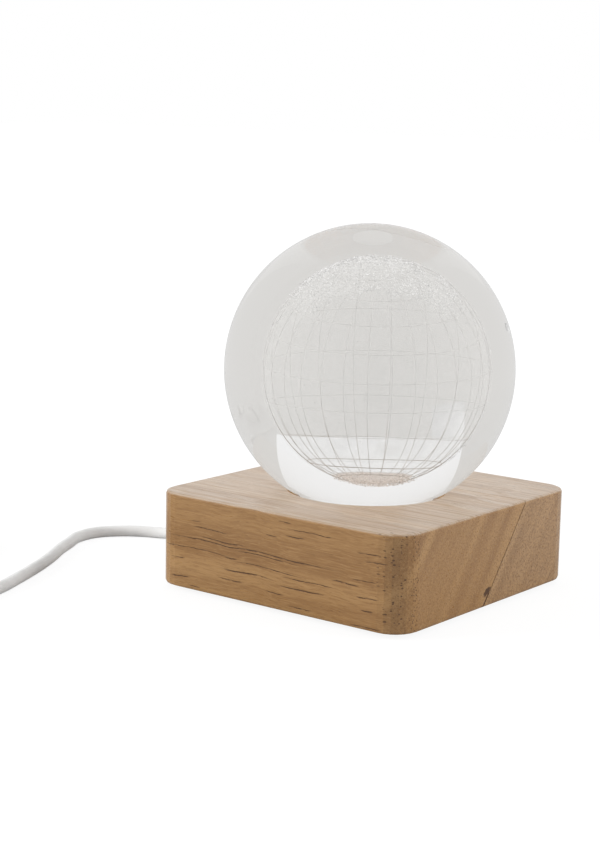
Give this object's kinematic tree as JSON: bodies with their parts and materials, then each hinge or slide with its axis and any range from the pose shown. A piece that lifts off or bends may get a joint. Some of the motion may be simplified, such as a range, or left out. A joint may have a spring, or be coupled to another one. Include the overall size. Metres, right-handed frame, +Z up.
{
  "type": "crystal ball lamp",
  "caption": "Glass ball with an engraved globe inside, resting in a round seat on a square wooden light base with a switched low-voltage lead.",
  "frame": {"origin": "on the table, under the middle of the wooden base", "axes": "+Z up; +X along the wood's grain, away from the side where the lead leaves"},
  "size_m": [0.2035, 0.1531, 0.1006],
  "materials": {
    "black_wire": "smooth",
    "board_white": "satin",
    "brass": "bright",
    "cord_white": "smooth",
    "crystal": "polished",
    "dark_plastic": "matte",
    "engraving": "frosted",
    "frosted_plastic": "frosted",
    "gold_plate": "bright",
    "led_package": "satin",
    "red_wire": "smooth",
    "resistor_body": "satin",
    "rubber": "matte",
    "steel": "bright",
    "white_plastic": "satin",
    "wood": "satin",
    "wood_side": "satin"
  },
  "bodies": {
    "lamp_base": {"base_main_stave": "wood", "base_side_stave": "wood_side", "foot_1": "rubber", "foot_2": "rubber", "foot_3": "rubber", "foot_4": "rubber", "diffuser": "frosted_plastic", "reflector": "white_plastic", "led_board": "board_white", "led_1": "led_package", "led_2": "led_package", "led_3": "led_package", "resistor": "resistor_body", "board_screw_1": "steel", "board_screw_2": "steel", "wire_positive": "red_wire", "wire_negative": "black_wire", "inner_tie": "white_plastic", "cord_inner_end": "cord_white", "bottom_cover": "dark_plastic", "cover_screw_1": "steel", "cover_screw_2": "steel", "cover_screw_3": "steel", "cover_screw_4": "steel", "strain_relief": "cord_white", "cord_lead": "cord_white", "cord_run": "cord_white", "cord_coil": "cord_white", "cord_tail": "cord_white", "coil_tie": "dark_plastic", "plug_body": "cord_white", "plug_shell": "steel", "plug_tongue": "dark_plastic", "plug_contact_1": "gold_plate", "plug_contact_2": "gold_plate", "plug_contact_3": "gold_plate", "plug_contact_4": "gold_plate", "switch_lower_housing": "cord_white", "switch_upper_housing": "cord_white", "switch_screw_1": "steel", "switch_screw_2": "steel", "switch_terminal_1": "brass", "switch_terminal_2": "brass", "switch_contact": "brass"},
    "crystal_ball": {"crystal_ball": "crystal", "engraved_globe": "engraving"},
    "switch_rocker": {"switch_rocker": "white_plastic"}
  },
  "joints": [
    {"name": "ball_lift", "type": "slide", "parent": "lamp_base", "child": "crystal_ball", "axis": [0, 0, 1], "range_m": [0, 0.05]},
    {"name": "rocker_hinge", "type": "hinge", "parent": "lamp_base", "child": "switch_rocker", "pos_m": [-0.118, -0.1036, 0.0078], "axis": [0, 1, 0], "range_deg": [0, 18]}
  ]
}
